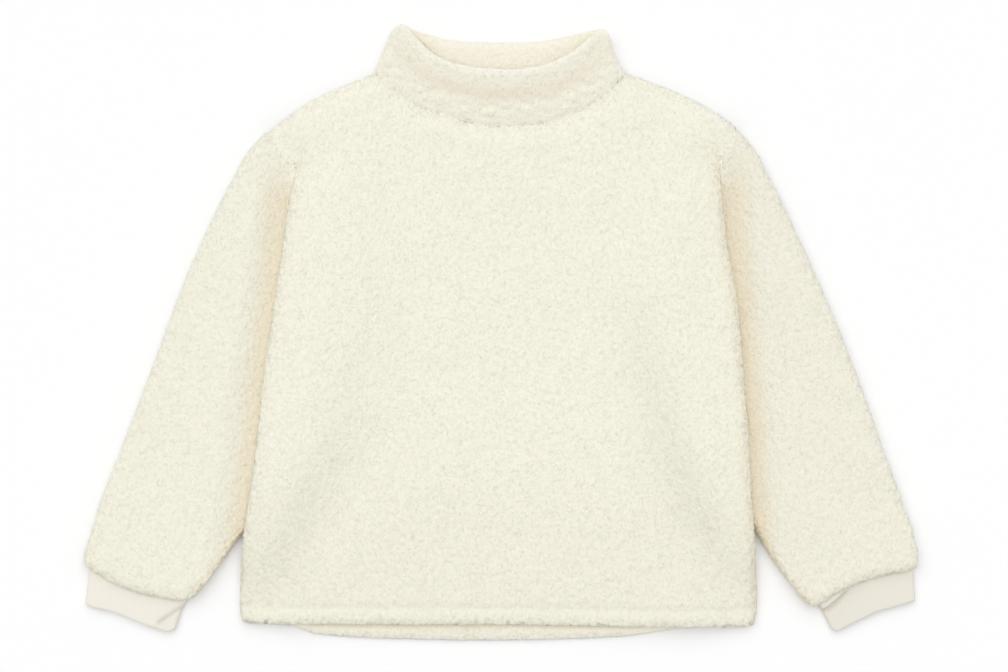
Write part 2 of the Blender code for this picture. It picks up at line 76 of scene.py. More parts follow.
CAMERA_HEIGHT = 2.09
bpy.ops.object.camera_add(location=(0.0022, -0.0022, CAMERA_HEIGHT), rotation=(0.0, 0.0, 0.0))
camera = bpy.context.object
camera.name = "straight_above"
camera.data.lens = 100.0
camera.data.sensor_width = 36.0
camera.data.clip_end = 20.0
bpy.context.scene.camera = camera

# Front panel. One piece of curly-pile fleece, 4.5 mm thick, its hem turned up
# and stitched, its sides and shoulders sewn to the back and rolled over there.
# It lies on the back with a low dome in the middle and a soft trough each side.
MM = 0.001
WALL, PANEL_GAP, BODY_LOFT, FOLD_RADIUS = 4.5, 0.5, 3.1, 4.2
TUCKED_HEIGHT, COVER_CLEARANCE, COVER_RAMP = 8.0, 0.4, 24.0
HEM_BAND, HEM_BAND_EXTRA = 12.5, -0.9
SEWN_DEPTH = 0.4
# Painted shade: greyer in the troughs, warmer and darker in the folds at the body's sides.
TROUGH_SHADE, FOLD_SHADE_TINT = (0.955, 0.955, 0.95), (0.962, 0.902, 0.83)
# The body's cream turns a little darker towards the hem.
LOW_TINT = (0.972, 0.97, 0.968)
HEM_ROUND = 6.0
NECK_LEVEL, NECK_EASE = 10.6, 16.0
# Painted light: lighter where a sleeve meets the body's edge; lighter, bluer along outlines.
CONTACT_PAINTED_LIGHT, OUTLINE_PAINTED_LIGHT = (1.05, 1.05, 1.06), (1.012, 1.018, 1.04)
STITCH_GROOVE_DEPTH, STITCH_GROOVE_WIDTH = 0.35, 2.6
TROUGH_WIDTH, TROUGH_SINK, DOME_RISE, DRAPE = 21.0, 1.8, 1.4, 52.0
ARMHOLE_LEVEL, ARMHOLE_EASE = 12.4, 34.0
SIDE_RADIUS_LEFT, SIDE_RADIUS_RIGHT = 5.0, 8.5
ARMHOLE_ROUND, ARMHOLE_ROUND_REACH = 6.0, 55.0
SHOULDER_LIFT, NECK_END_ROUND, NECK_END_REACH = 2.5, 4.0, 20.0
# How far inside the lower edge each row of the turned-up hem lies, and its drop.
HEM_TURN_UP = ((9.0, 0.0), (6.0, -0.1), (3.0, -0.1), (1.2, -0.05))
PILE_SINK = 0.7
PITCH = 1.34
CLOTH_THICKNESS = 0.0018
BODY_CREAM = (0.905, 0.881, 0.750)
# Painted shade in the pits between the curls: a darker, warmer cream.
BODY_PIT_SHADE = (0.772, 0.751, 0.625)

EDGE_LEFT = (
    (-192.2, -215.2), (-193.9, -208.0), (-193.9, -183.3), (-191.5, -153.6),
    (-187.0, -123.9), (-181.8, -86.8), (-177.4, -42.3), (-170.0, 9.6),
    (-163.3, 54.2), (-158.1, 91.3), (-151.4, 124.7),
)
EDGE_RIGHT = (
    (187.8, -216.8), (189.9, -209.5), (190.3, -190.7), (188.7, -161.1),
    (186.3, -123.9), (183.3, -72.0), (179.6, -27.5), (175.9, 17.1),
    (172.2, 41.6), (167.0, 71.3), (164.0, 98.7), (161.8, 127.7),
)
SHOULDER_LEFT = (
    (-175.6, 145.2), (-168.0, 152.8), (-152.2, 165.5),
    (-133.6, 176.6), (-107.6, 187.8), (-94.3, 193.0),
)
SHOULDER_RIGHT = (
    (92.8, 193.0), (106.1, 188.6), (135.1, 177.0),
    (155.9, 165.9), (172.3, 153.4), (176.3, 146.8),
)
NECK_FRONT = (
    (-94.3, 193.0), (-82.4, 183.7), (-73.5, 176.6), (-60.1, 167.7),
    (-38.6, 161.1), (-27.5, 157.3), (-0.7, 153.6), (31.2, 155.9),
    (43.0, 158.8), (63.1, 167.7), (77.9, 177.4), (92.8, 193.0),
)
HEM_FRONT = (
    (-192.2, -215.2), (-185.0, -216.4), (-149.2, -216.6), (-75.0, -216.8), (-0.7, -216.7),
    (73.5, -217.8), (105.0, -218.5), (147.7, -218.9), (180.5, -218.6), (187.8, -216.8),
)
COVERED_LEFT = (
    (-151.4, 128.4), (-135.8, 102.4), (-121.0, 77.9), (-109.8, 24.5),
    (-121.0, -51.2), (-154.4, -104.7), (-184.8, -149.9), (-212.3, -149.9),
    (-212.3, 24.5), (-164.0, 98.7),
)
COVERED_RIGHT = (
    (161.8, 131.4), (146.2, 102.4), (134.3, 77.9), (122.5, 24.5),
    (134.3, -51.2), (159.6, -109.5), (184.8, -153.0), (214.5, -153.0),
    (214.5, 24.5), (174.4, 98.7),
)
TROUGH_LEFT = (
    # x, y, share of the full depth
    (-95.0, 35.6, 0.0), (-108.1, -22.3, 0.3), (-122.0, -93.5, 0.5),
    (-135.5, -119.5, 0.55), (-149.7, -149.2, 0.6), (-164.5, -183.3, 0.55),
    (-177.4, -194.5, 0.3),
)
TROUGH_RIGHT = (
    (88.3, 45.0, 0.0), (99.5, -16.0, 0.55), (110.6, -56.0, 0.85),
    (125.4, -104.7, 1.0), (144.0, -145.5, 1.0), (163.3, -174.0, 0.6),
)
SHOULDER_SHARE = 0.235
ARMHOLE_SHARE = 0.908


def soft_step(t):
    t = np.clip(t, 0.0, 1.0)
    return t * t * (3.0 - 2.0 * t)


def near(distance, width):
    """1 on a line, fading softly out over about twice a width beside it."""
    return np.exp(-((distance / width) ** 2))


def quarter_round(distance, radius):
    """0 on a fold, rising along a quarter circle to 1 at the radius."""
    t = 1.0 - np.clip(distance / radius, 0.0, 1.0)
    return np.sqrt(1.0 - t * t)


def along(line, share):
    """The point at a share of the length of a smooth line through a table."""
    points = np.array(line, float)
    steps = np.linalg.norm(np.diff(points, axis=0), axis=1)
    lengths = np.concatenate([[0.0], np.cumsum(steps)])
    reach = np.concatenate([points[:1], points, points[-1:]])
    spans = np.concatenate([lengths[:1], lengths, lengths[-1:]])
    slopes = (reach[2:] - reach[:-2]) / (spans[2:] - spans[:-2])[:, None]
    at = np.clip(np.asarray(share, float), 0.0, 1.0) * lengths[-1]
    cell = np.clip(np.searchsorted(lengths, at, side="right") - 1, 0, len(steps) - 1)
    t = ((at - lengths[cell]) / steps[cell])[..., None]
    width = steps[cell][..., None]
    return (
        (2 * t**3 - 3 * t**2 + 1) * points[cell]
        + (t**3 - 2 * t**2 + t) * slopes[cell] * width
        + (3 * t**2 - 2 * t**3) * points[cell + 1]
        + (t**3 - t**2) * slopes[cell + 1] * width
    )


def patch(start, end, left, right, u, v):
    """A plan inside four lines: start and end run across, left and right along."""
    zero, one = np.zeros_like(u), np.ones_like(u)
    a, b = u[..., None], v[..., None]
    corners = (
        (1 - a) * (1 - b) * start(zero) + a * (1 - b) * start(one)
        + (1 - a) * b * end(zero) + a * b * end(one)
    )
    return (1 - b) * start(u) + b * end(u) + (1 - a) * left(v) + a * right(v) - corners


def nearest(x, y, line):
    """Distance to a run of straight pieces, and where on it the nearest point is."""
    best = np.full(np.shape(x), np.inf)
    place = np.zeros(np.shape(x))
    for index, (a, b) in enumerate(zip(line[:-1], line[1:])):
        dx, dy = b[0] - a[0], b[1] - a[1]
        t = np.clip(((x - a[0]) * dx + (y - a[1]) * dy) / (dx * dx + dy * dy), 0, 1)
        distance = np.hypot(x - a[0] - t * dx, y - a[1] - t * dy)
        closer = distance < best
        best = np.where(closer, distance, best)
        place = np.where(closer, index + t, place)
    return best, place


def inside(x, y, loop):
    crossings = np.zeros(np.shape(x), int)
    for a, b in zip(loop, loop[1:] + loop[:1]):
        spans = (a[1] > y) != (b[1] > y)
        rise = b[1] - a[1] if b[1] != a[1] else 1.0
        crossings += spans & (x < a[0] + (y - a[1]) * (b[0] - a[0]) / rise)
    return crossings % 2 == 1


def back_underside(x, y, ramp=COVER_RAMP):
    """The back lies on the table, and on the tucked margin of each sleeve."""
    height = np.zeros(np.shape(x))
    for loop in (COVERED_LEFT, COVERED_RIGHT):
        distance, _ = nearest(x, y, loop + loop[:1])
        share = np.where(inside(x, y, loop), 1.0, 1.0 - soft_step(distance / ramp))
        height = np.maximum(height, share * (TUCKED_HEIGHT + COVER_CLEARANCE))
    return height


def troughs(x, y):
    """Share of the body's loft that is left in the two soft troughs."""
    left = np.ones(np.shape(x))
    for line in (TROUGH_LEFT, TROUGH_RIGHT):
        distance, place = nearest(x, y, line)
        share = np.interp(place, range(len(line)), [row[2] for row in line])
        left *= 1.0 - share * near(distance, TROUGH_WIDTH)
    return left


def to_lines(x, y, *lines):
    """Distance to the nearest of some of the cut's smooth outlines."""
    smooth = [along(line, np.linspace(0.0, 1.0, 5 * len(line) - 4)) for line in lines]
    return np.minimum.reduce([nearest(x, y, line)[0] for line in smooth])


ARMHOLES = ((EDGE_LEFT[-1], SHOULDER_LEFT[0]), (EDGE_RIGHT[-1], SHOULDER_RIGHT[-1]))


def waves(x, y, size, seed):
    """Slow unevenness of cloth that was smoothed by hand, from -1 to 1."""
    random = np.random.default_rng(seed)
    total = np.zeros(np.shape(x))
    for turn, phase in random.uniform(0.0, 2.0 * math.pi, (5, 2)):
        stretch = random.uniform(0.7, 1.4) * 2.0 * math.pi / size
        total += np.sin((x * math.cos(turn) + y * math.sin(turn)) * stretch + phase)
    return total / 5.0


def front_underside(x, y):
    side = to_lines(x, y, EDGE_LEFT, EDGE_RIGHT)
    shoulder = to_lines(x, y, SHOULDER_LEFT, SHOULDER_RIGHT)
    dome = soft_step(side / 60.0) * soft_step(shoulder / 40.0)
    loft = BODY_LOFT * soft_step(side / 40.0) * soft_step(shoulder / 14.0) + DOME_RISE * dome
    left = troughs(x, y)
    return back_underside(x, y, DRAPE) + WALL + PANEL_GAP + loft * left - TROUGH_SINK * (1.0 - left)


def hem_relief(distance, x):
    """The hem is pressed flat as far as its stitches, and puckers a little there."""
    band = HEM_BAND_EXTRA * (1.0 - soft_step((distance - HEM_BAND + 3.0) / 9.0))
    groove = near(distance - HEM_BAND, STITCH_GROOVE_WIDTH)
    pucker = 0.35 * np.sin(x / 3.1) * np.sin(x / 7.3 + 1.0)
    return band * (1.0 + pucker) - STITCH_GROOVE_DEPTH * groove


def body_plan(neck, u, v):
    """Plan of a body panel: u across, v from hem to shoulders and neck."""

    def top(w):
        neck_share = (w - SHOULDER_SHARE) / (1.0 - 2.0 * SHOULDER_SHARE)
        left_part = along(SHOULDER_LEFT, w / SHOULDER_SHARE)
        right_part = along(SHOULDER_RIGHT, (w - 1.0 + SHOULDER_SHARE) / SHOULDER_SHARE)
        points = np.where((neck_share < 0.0)[..., None], left_part, along(neck, neck_share))
        return np.where((neck_share > 1.0)[..., None], right_part, points)

    def side(edge, shoulder):
        def points(w):
            below = along(edge, w / ARMHOLE_SHARE)
            above = along((edge[-1], shoulder), (w - ARMHOLE_SHARE) / (1.0 - ARMHOLE_SHARE))
            return np.where((w > ARMHOLE_SHARE)[..., None], above, below)

        return points

    left = side(EDGE_LEFT, SHOULDER_LEFT[0])
    right = side(EDGE_RIGHT, SHOULDER_RIGHT[-1])
    return patch(lambda w: along(HEM_FRONT, w), top, left, right, u, v)


def close_to_ends(count, power=2.0):
    """Shares from 0 to 1 that crowd together at both ends, where the cloth rolls."""
    t = np.linspace(-1.0, 1.0, count)
    return 0.5 + 0.5 * np.sign(t) * (1.0 - (1.0 - np.abs(t)) ** power)


def evenly(points, pitch, axis, count=None):
    """The same surface with its points a cloth pitch apart along one axis."""
    points = np.moveaxis(points, axis, 0)
    steps = np.linalg.norm(np.diff(points[..., :3], axis=0), axis=-1)
    lengths = np.concatenate([np.zeros((1,) + steps.shape[1:]), np.cumsum(steps, axis=0)])
    count = count or int(np.median(lengths[-1]) / pitch) + 1
    even = np.empty((count,) + points.shape[1:])
    for line in range(points.shape[1]):
        wanted = np.linspace(0.0, lengths[-1, line], count)
        for part in range(points.shape[2]):
            even[:, line, part] = np.interp(wanted, lengths[:, line], points[:, line, part])
    return np.moveaxis(even, 0, axis)


def tinted(points, *shades, pile=1.0):
    """Adds a tint, from shares and their colours, and a share of the full pile."""
    tint = np.ones(points.shape[:2] + (3,))
    for share, colour in shades:
        tint *= 1.0 - np.asarray(share)[..., None] * (1.0 - np.array(colour))
    pile = np.broadcast_to(pile, points.shape[:2])[..., None]
    return np.concatenate([points, tint, pile], axis=-1)


def lay_cloth(name, points, joined_across=False, joined_along=False):
    """A sheet laid through rows of points in millimetres, seen side out.

    After its place, a point carries a tint, mostly painted shade in folds, troughs
    and creases and painted light along outlines, and its share of the full pile.
    Every vertex keeps where it lies, and the pile's curls are grown from that.
    """
    rows, columns = points.shape[:2]
    bpy.ops.object.select_all(action="DESELECT")
    bpy.ops.mesh.primitive_grid_add(
        x_subdivisions=columns - 1, y_subdivisions=rows - 1, size=2.0
    )
    piece = bpy.context.object
    piece.name = piece.data.name = name
    mesh = piece.data
    flat = np.empty(len(mesh.vertices) * 3)
    mesh.vertices.foreach_get("co", flat)
    column = np.rint((flat[0::3] + 1.0) / 2.0 * (columns - 1)).astype(int)
    row = np.rint((flat[1::3] + 1.0) / 2.0 * (rows - 1)).astype(int)
    placed = points[row, column, :3] * MM
    mesh.vertices.foreach_set("co", placed.ravel())
    tint = mesh.attributes.new("tint", "FLOAT_VECTOR", "POINT")
    tint.data.foreach_set("vector", points[row, column, 3:6].ravel())
    cloth_at = mesh.attributes.new("cloth_at", "FLOAT_VECTOR", "POINT")
    cloth_at.data.foreach_set("vector", placed.ravel())
    amount = mesh.attributes.new("pile", "FLOAT", "POINT")
    amount.data.foreach_set("value", points[row, column, 6].ravel())
    mesh.update()
    if joined_across or joined_along:
        bpy.ops.object.mode_set(mode="EDIT")
        bpy.ops.mesh.select_all(action="SELECT")
        bpy.ops.mesh.remove_doubles(threshold=1e-6)
        bpy.ops.object.mode_set(mode="OBJECT")
    bpy.ops.object.shade_smooth()
    return piece


class Socket:
    """A node's output that Python's operators and new nodes can build on."""

    def __init__(self, tree, output):
        self.tree, self.output = tree, output

    def node(self, kind, settings=None, inputs=None, output=0):
        made = self.tree.nodes.new(kind)
        for name, value in (settings or {}).items():
            setattr(made, name, value)
        for name, value in (inputs or {}).items():
            if isinstance(value, Socket):
                self.tree.links.new(value.output, made.inputs[name])
            else:
                made.inputs[name].default_value = value
        return Socket(self.tree, made.outputs[output])

    def maths(self, operation, other):
        return self.node("ShaderNodeMath", {"operation": operation}, {0: self, 1: other})

    def __add__(self, other):
        return self.maths("ADD", other)

    def __sub__(self, other):
        return self.maths("SUBTRACT", other)

    def __rsub__(self, other):
        return self.node("ShaderNodeMath", {"operation": "SUBTRACT"}, {0: other, 1: self})

    def __mul__(self, other):
        return self.maths("MULTIPLY", other)

    def vector(self, operation, other):
        key = "Scale" if operation == "SCALE" else 1
        return self.node("ShaderNodeVectorMath", {"operation": operation}, {0: self, key: other})

    def spread(self, low, high):
        """From low to high, as 0 to 1."""
        ends = {"Value": self, "From Min": low, "From Max": high}
        return self.node("ShaderNodeMapRange", {}, ends)


def curls(at):
    """The pile's relief, 0 in the pits between its curls and about 1 on top."""
    cells = at.vector("MULTIPLY", (1.0 / CURL_SIZE, 0.62 / CURL_SIZE, 1.0 / CURL_SIZE))
    wander = at.node(
        "ShaderNodeTexNoise", {}, {"Vector": cells, "Scale": 1.1, "Detail": 2.0}, "Color"
    )
    bent = cells.vector("ADD", wander.vector("SUBTRACT", (0.5, 0.5, 0.5)).vector("SCALE", 0.9))
    clump = at.node("ShaderNodeTexVoronoi", {}, {"Vector": bent, "Scale": 1.0}, "Distance")
    strand = at.node("ShaderNodeTexNoise", {}, {"Vector": bent, "Scale": 1.7, "Detail": 1.0}, 0)
    apart = strand - 0.5
    between = apart.node("ShaderNodeMath", {"operation": "ABSOLUTE"}, {0: apart})
    return 1.0 - clump * clump * 0.42 - between * 2.7


CURL_SIZE = 0.0031
PILE_DEPTH = 0.0011
pile_tree = bpy.data.node_groups.new("pile", "GeometryNodeTree")
for way in ("INPUT", "OUTPUT"):
    pile_tree.interface.new_socket("Cloth", in_out=way, socket_type="NodeSocketGeometry")
cloth_in = Socket(pile_tree, pile_tree.nodes.new("NodeGroupInput").outputs[0])


def stored(name, kind):
    node = pile_tree.nodes.new("GeometryNodeInputNamedAttribute")
    node.data_type = kind
    node.inputs["Name"].default_value = name
    return Socket(pile_tree, node.outputs["Attribute"])


facing = Socket(pile_tree, pile_tree.nodes.new("GeometryNodeInputNormal").outputs[0])
relief = (curls(stored("cloth_at", "FLOAT_VECTOR")) - 0.6) * PILE_DEPTH
relief = relief * stored("pile", "FLOAT") * (1.0 - stored("lining", "FLOAT"))
grown = cloth_in.node(
    "GeometryNodeSetPosition", {},
    {"Geometry": cloth_in, "Offset": facing.vector("SCALE", relief)},
)
place = Socket(pile_tree, pile_tree.nodes.new("GeometryNodeInputPosition").outputs[0])
on_table = place.vector("MAXIMUM", (-10.0, -10.0, 0.0))
grown = grown.node("GeometryNodeSetPosition", {}, {"Geometry": grown, "Position": on_table})
pile_tree.links.new(grown.output, pile_tree.nodes.new("NodeGroupOutput").inputs[0])


def grow_pile(piece, lined, lining_share=0.12):
    """Gives a laid sheet its wall, raises the pile on its outside, and bakes both."""
    bpy.ops.object.select_all(action="DESELECT")
    piece.select_set(True)
    bpy.context.view_layer.objects.active = piece
    piece.vertex_groups.new(name="lining")
    if lined:
        wall = piece.modifiers.new("wall", "SOLIDIFY")
        wall.thickness = CLOTH_THICKNESS
        wall.offset = -1.0
        wall.shell_vertex_group = "lining"
        bpy.ops.object.modifier_apply(modifier="wall")
    pile = piece.modifiers.new("pile", "NODES")
    pile.node_group = pile_tree
    bpy.ops.object.modifier_apply(modifier="pile")
    if lined:
        thin = piece.modifiers.new("thin_lining", "DECIMATE")
        thin.ratio = 0.5 + 0.5 * lining_share
        thin.vertex_group = "lining"
        bpy.ops.object.modifier_apply(modifier="thin_lining")
    bpy.ops.object.shade_smooth()


def kept_on_cloth(tree, name, output):
    """What each point of a laid cloth keeps, for its material to read."""
    holder = tree.nodes.new("ShaderNodeAttribute")
    holder.attribute_name = name
    return Socket(tree, holder.outputs[output])


def with_tint(tree, colour):
    """The cloth's colour, warmer, darker or lighter where its painted shade and light say so."""
    return colour.node(
        "ShaderNodeMix", {"data_type": "RGBA", "blend_type": "MULTIPLY"},
        {"Factor": 1.0, 6: colour, 7: kept_on_cloth(tree, "tint", "Color")}, 2,
    )


def fleece(name, cream, pit_shade):
    """Curly-pile fleece: matt, pale on its curls, with painted shade, warmer and darker, in the
    pits between.
    """
    material = bpy.data.materials.new(name)
    material.use_nodes = True
    tree = material.node_tree
    shader = tree.nodes["Principled BSDF"]
    at = kept_on_cloth(tree, "cloth_at", "Vector")
    height = curls(at)
    patchy = at.node("ShaderNodeTexNoise", {}, {"Vector": at, "Scale": 22.0, "Detail": 3.0}, 0)
    fluff = at.node("ShaderNodeTexNoise", {}, {"Vector": at, "Scale": 1100.0, "Detail": 2.0}, 0)
    depth = height.spread(0.05, 0.95) * 0.85 + patchy.spread(0.3, 0.7) * 0.07
    depth = depth + fluff.spread(0.3, 0.6) * 0.08
    depth = 1.0 - (1.0 - depth) * kept_on_cloth(tree, "pile", "Fac")
    colour = at.node(
        "ShaderNodeMix", {"data_type": "RGBA"},
        {"Factor": depth, 6: (*pit_shade, 1.0), 7: (*cream, 1.0)}, 2,
    )
    colour = with_tint(tree, colour)
    bump = at.node(
        "ShaderNodeBump", {},
        {"Height": height + fluff * 0.25, "Distance": 0.0007, "Strength": 0.6},
    )
    tree.links.new(colour.output, shader.inputs["Base Color"])
    tree.links.new(bump.output, shader.inputs["Normal"])
    shader.inputs["Roughness"].default_value = 0.95
    shader.inputs["Specular IOR Level"].default_value = 0.15
    shader.inputs["Sheen Weight"].default_value = 0.4
    shader.inputs["Sheen Roughness"].default_value = 0.5
    return material


u, v = np.meshgrid(close_to_ends(420), close_to_ends(460))
plan = body_plan(NECK_FRONT, u, v)
x, y = plan[..., 0], plan[..., 1]
hem = to_lines(x, y, HEM_FRONT)
under = front_underside(x, y)
top = under + WALL + hem_relief(hem, x) - PILE_SINK + 0.5 * waves(x, y, 70.0, 3)
armhole = to_lines(x, y, *ARMHOLES)
ease = 1.0 - soft_step(armhole / ARMHOLE_EASE)
top = top + (ARMHOLE_LEVEL - top) * ease
seam = to_lines(x, y, NECK_FRONT)
top = top + (NECK_LEVEL - top) * (1.0 - soft_step(seam / NECK_EASE))
sewn_edge = back_underside(x, y) + WALL - SEWN_DEPTH
side_edge = sewn_edge + (ARMHOLE_LEVEL - 0.2 - sewn_edge) * ease
side = to_lines(x, y, EDGE_LEFT, EDGE_RIGHT)
shoulder = to_lines(x, y, SHOULDER_LEFT, SHOULDER_RIGHT)
side_radius = np.where(x > 0.0, SIDE_RADIUS_RIGHT, SIDE_RADIUS_LEFT)
side_radius = side_radius + ARMHOLE_ROUND * (1.0 - soft_step(armhole / ARMHOLE_ROUND_REACH))
front_top = side_edge + (top - side_edge) * quarter_round(side, side_radius)
shoulder_edge = sewn_edge + SHOULDER_LIFT * ease
shoulder_radius = FOLD_RADIUS + NECK_END_ROUND * near(seam, NECK_END_REACH)
front_top = shoulder_edge + (front_top - shoulder_edge) * quarter_round(shoulder, shoulder_radius)
front_top = under + (front_top - under) * quarter_round(hem, HEM_ROUND)
lap = np.clip(1.0 - armhole / 3.0, 0.0, 1.0)
outwards = np.where(x < 0.0, -1.0, 1.0)[..., None]
plan = plan + (lap * 1.5)[..., None] * outwards * np.array([0.65, 0.0])
plan[..., 1] -= lap * 1.1
front_top = front_top - 1.1 * np.clip(3.0 * lap - 2.0, 0.0, 1.0) ** 2
front_points = np.concatenate([plan, front_top[..., None]], axis=-1)
shaggy = 1.0 + 0.8 * near(np.minimum.reduce([side, shoulder, hem]), 5.0)
shaggy = shaggy + 0.5 * near(seam, 4.0)
stitched = 0.5 * near(hem - HEM_BAND + 2.0, 3.5)
# Painted shade in the troughs and at the sides, painted light at shoulders and hem; darker low
# down.
front_points = tinted(
    front_points, (1.0 - troughs(x, y), TROUGH_SHADE), (soft_step((-60.0 - y) / 110.0), LOW_TINT),
    (near(side, 7.0) * np.where(x > 0.0, 0.5, 0.1), FOLD_SHADE_TINT),
    (near(np.minimum(shoulder, hem), 3.0), OUTLINE_PAINTED_LIGHT), pile=shaggy - stitched,
)
turned_up = [
    front_points[:1] + np.array([0.0, inward, drop, 0.0, 0.0, 0.0, 0.0])
    for inward, drop in HEM_TURN_UP
]
front_points = np.concatenate(turned_up + [front_points], axis=0)
front_points = evenly(evenly(front_points, PITCH, 1), PITCH, 0)
front = lay_cloth("front_panel", front_points)
grow_pile(front, lined=True, lining_share=0.08)
front.data.materials.append(fleece("front_curly_pile", BODY_CREAM, BODY_PIT_SHADE))
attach(front, "root")
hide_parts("front")

# Back panel. The same fleece, a little longer at the hem, where a strip of its
# turned-up inside shows below the front. It lies flat on the table, and climbs
# over the inner margin of each sleeve.
NECK_BACK = (
    (-94.3, 193.0), (-82.4, 183.7), (-72.0, 178.9), (-52.7, 175.9),
    (-0.7, 174.4), (51.2, 175.9), (68.5, 177.9), (79.9, 181.0), (92.8, 193.0),
)
HEM_BACK = (
    (-192.2, -215.2), (-185.0, -216.4), (-170.0, -217.0), (-156.0, -218.2),
    (-147.5, -221.0), (-139.0, -224.0), (-121.0, -225.8), (-98.0, -227.3), (-55.0, -228.5),
    (-27.5, -229.1), (3.0, -228.9), (25.4, -228.7), (55.2, -227.8), (85.0, -226.6),
    (99.9, -225.0), (126.8, -221.2), (147.7, -219.4), (180.5, -218.7), (187.8, -216.8),
)
BACK_PITCH, STRIP_PITCH, STRIP_COLUMNS = 2.3, 1.1, 330
HEM_JOIN_X, HEM_JOIN_HALF = -24.5, 2.2
STRIP_HEIGHT, STRIP_LEAST, STRIP_ROUND, STRIP_SHARE = 5.4, 3.4, 7.0, 0.09
# Painted light: lighter where the front's hem shades the strip, and beyond; lighter, bluer at the
# rim.
STRIP_PAINTED_LIGHT, STRIP_EDGE_PAINTED_LIGHT = (1.075, 1.045, 1.0), (1.03, 1.03, 1.03)
RIM_PAINTED_LIGHT, JOIN_TINT = (1.0, 1.01, 1.05), (0.9, 0.88, 0.85)
BACK_LONGER_SHARE = 0.066


def back_plan(u, v):
    longer = along(HEM_BACK, u) - along(HEM_FRONT, u)
    fade = np.clip(1.0 - v / BACK_LONGER_SHARE, 0.0, 1.0)[..., None]
    return body_plan(NECK_BACK, u, v) + longer * fade


BACK_INSET = 0.0025
u, v = np.meshgrid(close_to_ends(300), close_to_ends(340))
plan = back_plan(BACK_INSET + (1.0 - 2.0 * BACK_INSET) * u, (1.0 - BACK_INSET) * v)
x, y = plan[..., 0], plan[..., 1]
back_top = back_underside(x, y) + WALL
rolled = to_lines(x, y, EDGE_LEFT, EDGE_RIGHT, SHOULDER_LEFT, SHOULDER_RIGHT, *ARMHOLES)
under = back_top - (WALL - PILE_SINK) * quarter_round(rolled, FOLD_RADIUS)
under_points = np.concatenate([plan, under[..., None]], axis=-1)
strip_u, strip_v = np.meshgrid(close_to_ends(300), np.linspace(STRIP_SHARE, 0.0, 60)[:-1])
plan = back_plan(BACK_INSET + (1.0 - 2.0 * BACK_INSET) * strip_u, strip_v)
x, y = plan[..., 0], plan[..., 1]
hem = to_lines(x, y, HEM_BACK)
join = near(np.abs(x - HEM_JOIN_X) - HEM_JOIN_HALF, 1.0)
strip = STRIP_HEIGHT * quarter_round(hem, STRIP_ROUND) - 0.9 * join
side = to_lines(x, y, EDGE_LEFT, EDGE_RIGHT)
strip = np.maximum(strip, STRIP_LEAST) * (0.35 + 0.65 * quarter_round(side, FOLD_RADIUS))
# pressed marks where the front's hem shades the strip: lower pile, and painted light against the
# shade.
pressed = 1.0 - soft_step((to_lines(x, y, HEM_FRONT) - 3.0) / 4.0)
strip_points = tinted(
    np.concatenate([plan, strip[..., None]], axis=-1),
    (pressed, STRIP_PAINTED_LIGHT), (1.0 - pressed, STRIP_EDGE_PAINTED_LIGHT), (join, JOIN_TINT),
    (near(hem, 3.0), RIM_PAINTED_LIGHT), pile=1.4 - 1.05 * pressed,
)
under_points = tinted(under_points)
under_points[..., 2] = np.maximum(under_points[..., 2], 0.0)
under_points[:1, :, 2] = strip_points[-1:, :, 2] * 0.5
strip_points = evenly(evenly(strip_points, PITCH, 1, STRIP_COLUMNS), STRIP_PITCH, 0)
under_points = evenly(evenly(under_points, PITCH, 1, STRIP_COLUMNS), BACK_PITCH, 0)
back_points = np.concatenate([strip_points, under_points], axis=0)[:, ::-1]
back = lay_cloth("back_panel", back_points)
grow_pile(back, lined=True)
back.data.materials.append(fleece("back_curly_pile", BODY_CREAM, BODY_PIT_SHADE))
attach(back, "root")
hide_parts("back")

# Sleeves. Each is one piece of the same fleece sewn into a tube, wide at the
# armhole and drawn in at the wrist. Its inner margin is flattened under the
# body, and its end is folded in over the cuff.
SLEEVE_OPEN_HEIGHT, SLEEVE_WRIST_HEIGHT, WRIST_ROUND = 13.0, 8.6, 9.0
SLEEVE_FOLD_RADIUS = 7.0
RISE_START, RISE_LENGTH = 6.0, 23.0
# Where painted shade beside the body's edge begins, and how far it reaches low and high.
FOLD_SHADE_START, FOLD_SHADE_LENGTH, FOLD_SHADE_LENGTH_ABOVE = 5.5, 13.0, 23.0
SLEEVE_CREAM = (0.892, 0.868, 0.738)
